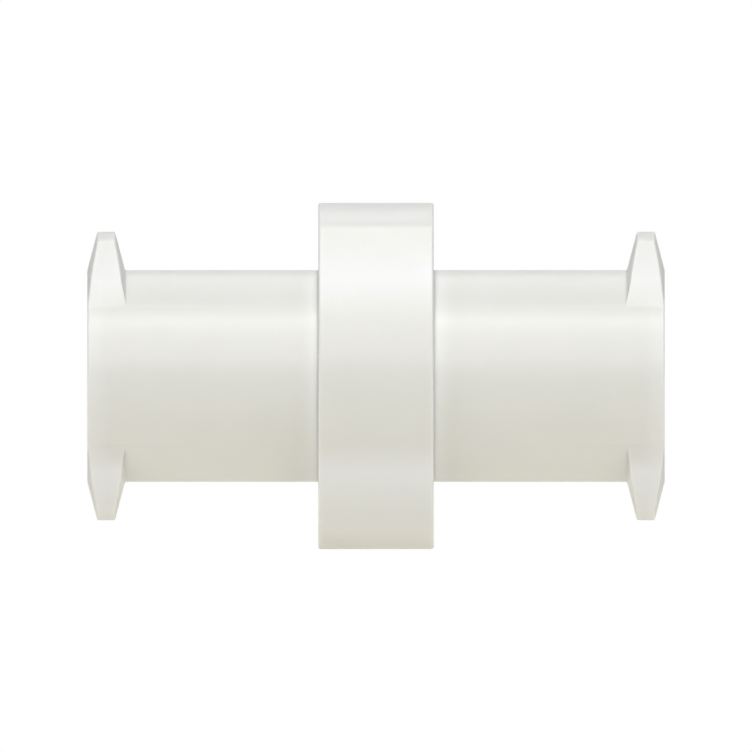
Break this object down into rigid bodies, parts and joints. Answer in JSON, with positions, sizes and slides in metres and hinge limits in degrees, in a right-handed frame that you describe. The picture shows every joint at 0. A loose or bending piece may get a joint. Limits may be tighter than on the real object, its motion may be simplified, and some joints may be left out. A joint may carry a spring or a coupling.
{
  "type": "push fit coupling",
  "caption": "Straight push fit coupling for plastic tube, with a winged collar in the middle, lugged barrels, and release sleeves sunk in both ends.",
  "frame": {"origin": "middle of the tube axis, half way between the two ends", "axes": "+X along the tube axis towards the right socket, +Z towards the upper wing and upper lugs, +Y completes the frame"},
  "size_m": [0.036, 0.018, 0.0216],
  "materials": {
    "natural_plastic": "satin, slightly translucent natural polypropylene",
    "white_acetal": "satin white acetal",
    "clear_silicone": "smooth, translucent silicone rubber",
    "stainless_steel": "bright stamped stainless steel"
  },
  "bodies": {
    "coupling_body": {"winged_body": "natural_plastic", "left_barrel": "natural_plastic", "left_seal_ring": "clear_silicone", "left_backup_washer": "white_acetal", "left_cone_ring": "white_acetal", "right_barrel": "natural_plastic", "right_seal_ring": "clear_silicone", "right_backup_washer": "white_acetal", "right_cone_ring": "white_acetal"},
    "left_sleeve": {"left_release_sleeve": "natural_plastic", "left_tooth_1": "stainless_steel", "left_tooth_2": "stainless_steel", "left_tooth_3": "stainless_steel", "left_tooth_4": "stainless_steel", "left_tooth_5": "stainless_steel", "left_tooth_6": "stainless_steel"},
    "right_sleeve": {"right_release_sleeve": "natural_plastic", "right_tooth_1": "stainless_steel", "right_tooth_2": "stainless_steel", "right_tooth_3": "stainless_steel", "right_tooth_4": "stainless_steel", "right_tooth_5": "stainless_steel", "right_tooth_6": "stainless_steel"}
  },
  "joints": [
    {"name": "left_sleeve_push", "type": "slide", "parent": "coupling_body", "child": "left_sleeve", "axis": [1, 0, 0], "range_m": [0, 0.0012]},
    {"name": "right_sleeve_push", "type": "slide", "parent": "coupling_body", "child": "right_sleeve", "axis": [-1, 0, 0], "range_m": [0, 0.0012]}
  ]
}
